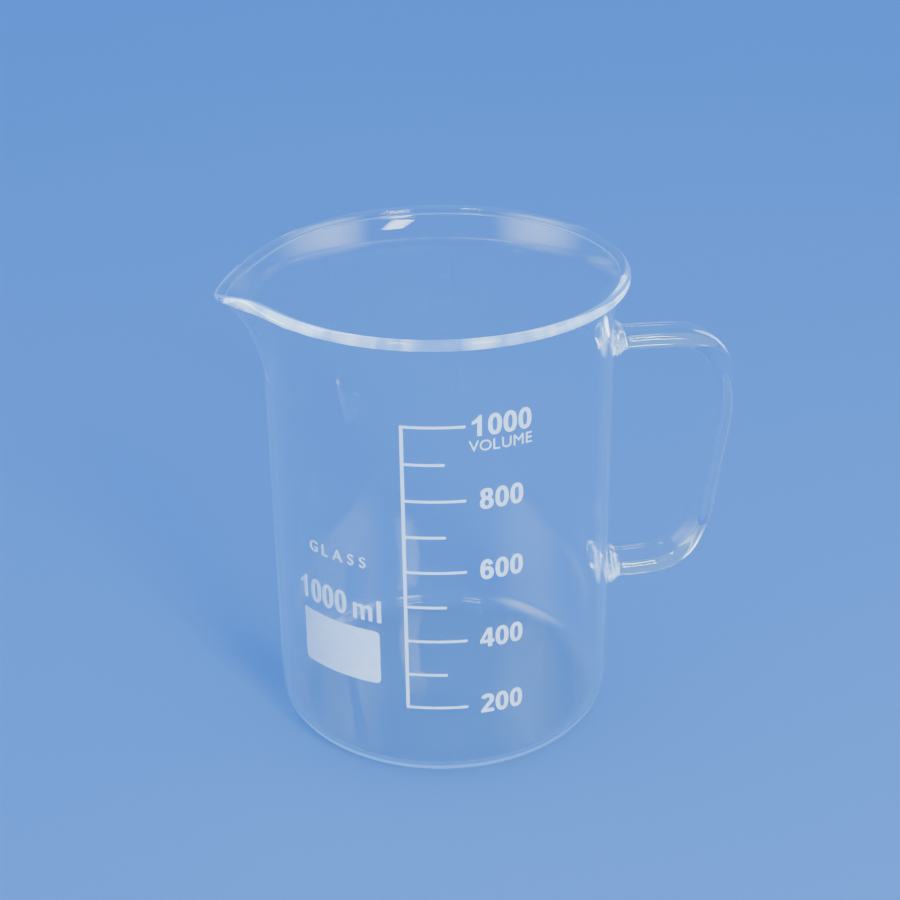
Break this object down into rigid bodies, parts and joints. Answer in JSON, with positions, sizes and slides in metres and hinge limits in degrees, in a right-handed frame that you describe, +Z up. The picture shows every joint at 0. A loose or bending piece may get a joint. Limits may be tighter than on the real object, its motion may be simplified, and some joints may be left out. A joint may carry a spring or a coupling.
{
  "type": "glass beaker with handle",
  "caption": "Low-form borosilicate glass beaker with a beaded rim, a pouring spout opposite a solid glass handle, and fired-on white volume marks.",
  "frame": {"origin": "on the vessel's axis, at the flat face the beaker stands on", "axes": "+Z up along the vessel's axis, +X from the axis towards the handle, the spout at -X, the volume marks on the -Y side"},
  "size_m": [0.161, 0.1152, 0.148],
  "materials": {
    "clear_glass": "clear, smooth, fire polished",
    "white_enamel": "white fired-on enamel, satin"
  },
  "bodies": {
    "root": {"capacity_digit_1": "white_enamel", "capacity_digit_2": "white_enamel", "capacity_digit_3": "white_enamel", "capacity_digit_4": "white_enamel", "capacity_unit_l": "white_enamel", "capacity_unit_m": "white_enamel", "glass_word_letter_1": "white_enamel", "glass_word_letter_2": "white_enamel", "glass_word_letter_3": "white_enamel", "glass_word_letter_4": "white_enamel", "glass_word_letter_5": "white_enamel", "graduation_scale": "white_enamel", "handle": "clear_glass", "marking_panel": "white_enamel", "scale_word_letter_1": "white_enamel", "scale_word_letter_2": "white_enamel", "scale_word_letter_3": "white_enamel", "scale_word_letter_4": "white_enamel", "scale_word_letter_5": "white_enamel", "scale_word_letter_6": "white_enamel", "vessel": "clear_glass", "volume_1000_digit_1": "white_enamel", "volume_1000_digit_2": "white_enamel", "volume_1000_digit_3": "white_enamel", "volume_1000_digit_4": "white_enamel", "volume_200_digit_1": "white_enamel", "volume_200_digit_2": "white_enamel", "volume_200_digit_3": "white_enamel", "volume_400_digit_1": "white_enamel", "volume_400_digit_2": "white_enamel", "volume_400_digit_3": "white_enamel", "volume_600_digit_1": "white_enamel", "volume_600_digit_2": "white_enamel", "volume_600_digit_3": "white_enamel", "volume_800_digit_1": "white_enamel", "volume_800_digit_2": "white_enamel", "volume_800_digit_3": "white_enamel"}
  },
  "joints": []
}
